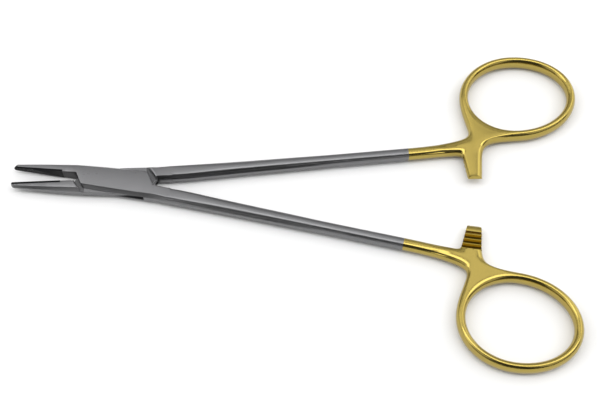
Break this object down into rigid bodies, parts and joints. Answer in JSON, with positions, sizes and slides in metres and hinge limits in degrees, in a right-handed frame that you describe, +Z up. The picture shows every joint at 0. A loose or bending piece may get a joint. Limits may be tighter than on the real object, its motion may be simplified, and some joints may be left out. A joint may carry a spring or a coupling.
{
  "type": "surgical needle holder",
  "caption": "Slender needle holder with two finger rings, a box lock, a ratchet and hard inserts in its jaws.",
  "frame": {"origin": "where the axis of the box lock's pivot meets the plane that the tool lies on", "axes": "+X runs to the finger rings, midway between the two arms, and +Z is up, along the pivot"},
  "size_m": [0.1474, 0.0904, 0.0042],
  "materials": {
    "satin_steel": "satin",
    "pin_steel": "satin",
    "hard_insert": "fine cross hatched"
  },
  "bodies": {
    "box_half": {"box_arm": "satin_steel", "pivot_pin": "pin_steel", "box_jaw_insert": "hard_insert"},
    "tongue_half": {"tongue_arm": "satin_steel", "tongue_jaw_insert": "hard_insert"}
  },
  "joints": [
    {"name": "box_lock_hinge", "type": "hinge", "parent": "box_half", "child": "tongue_half", "pos_m": [0, 0, 0.0021], "axis": [0, 0, 1], "range_deg": [-8.9, 41.1]}
  ]
}
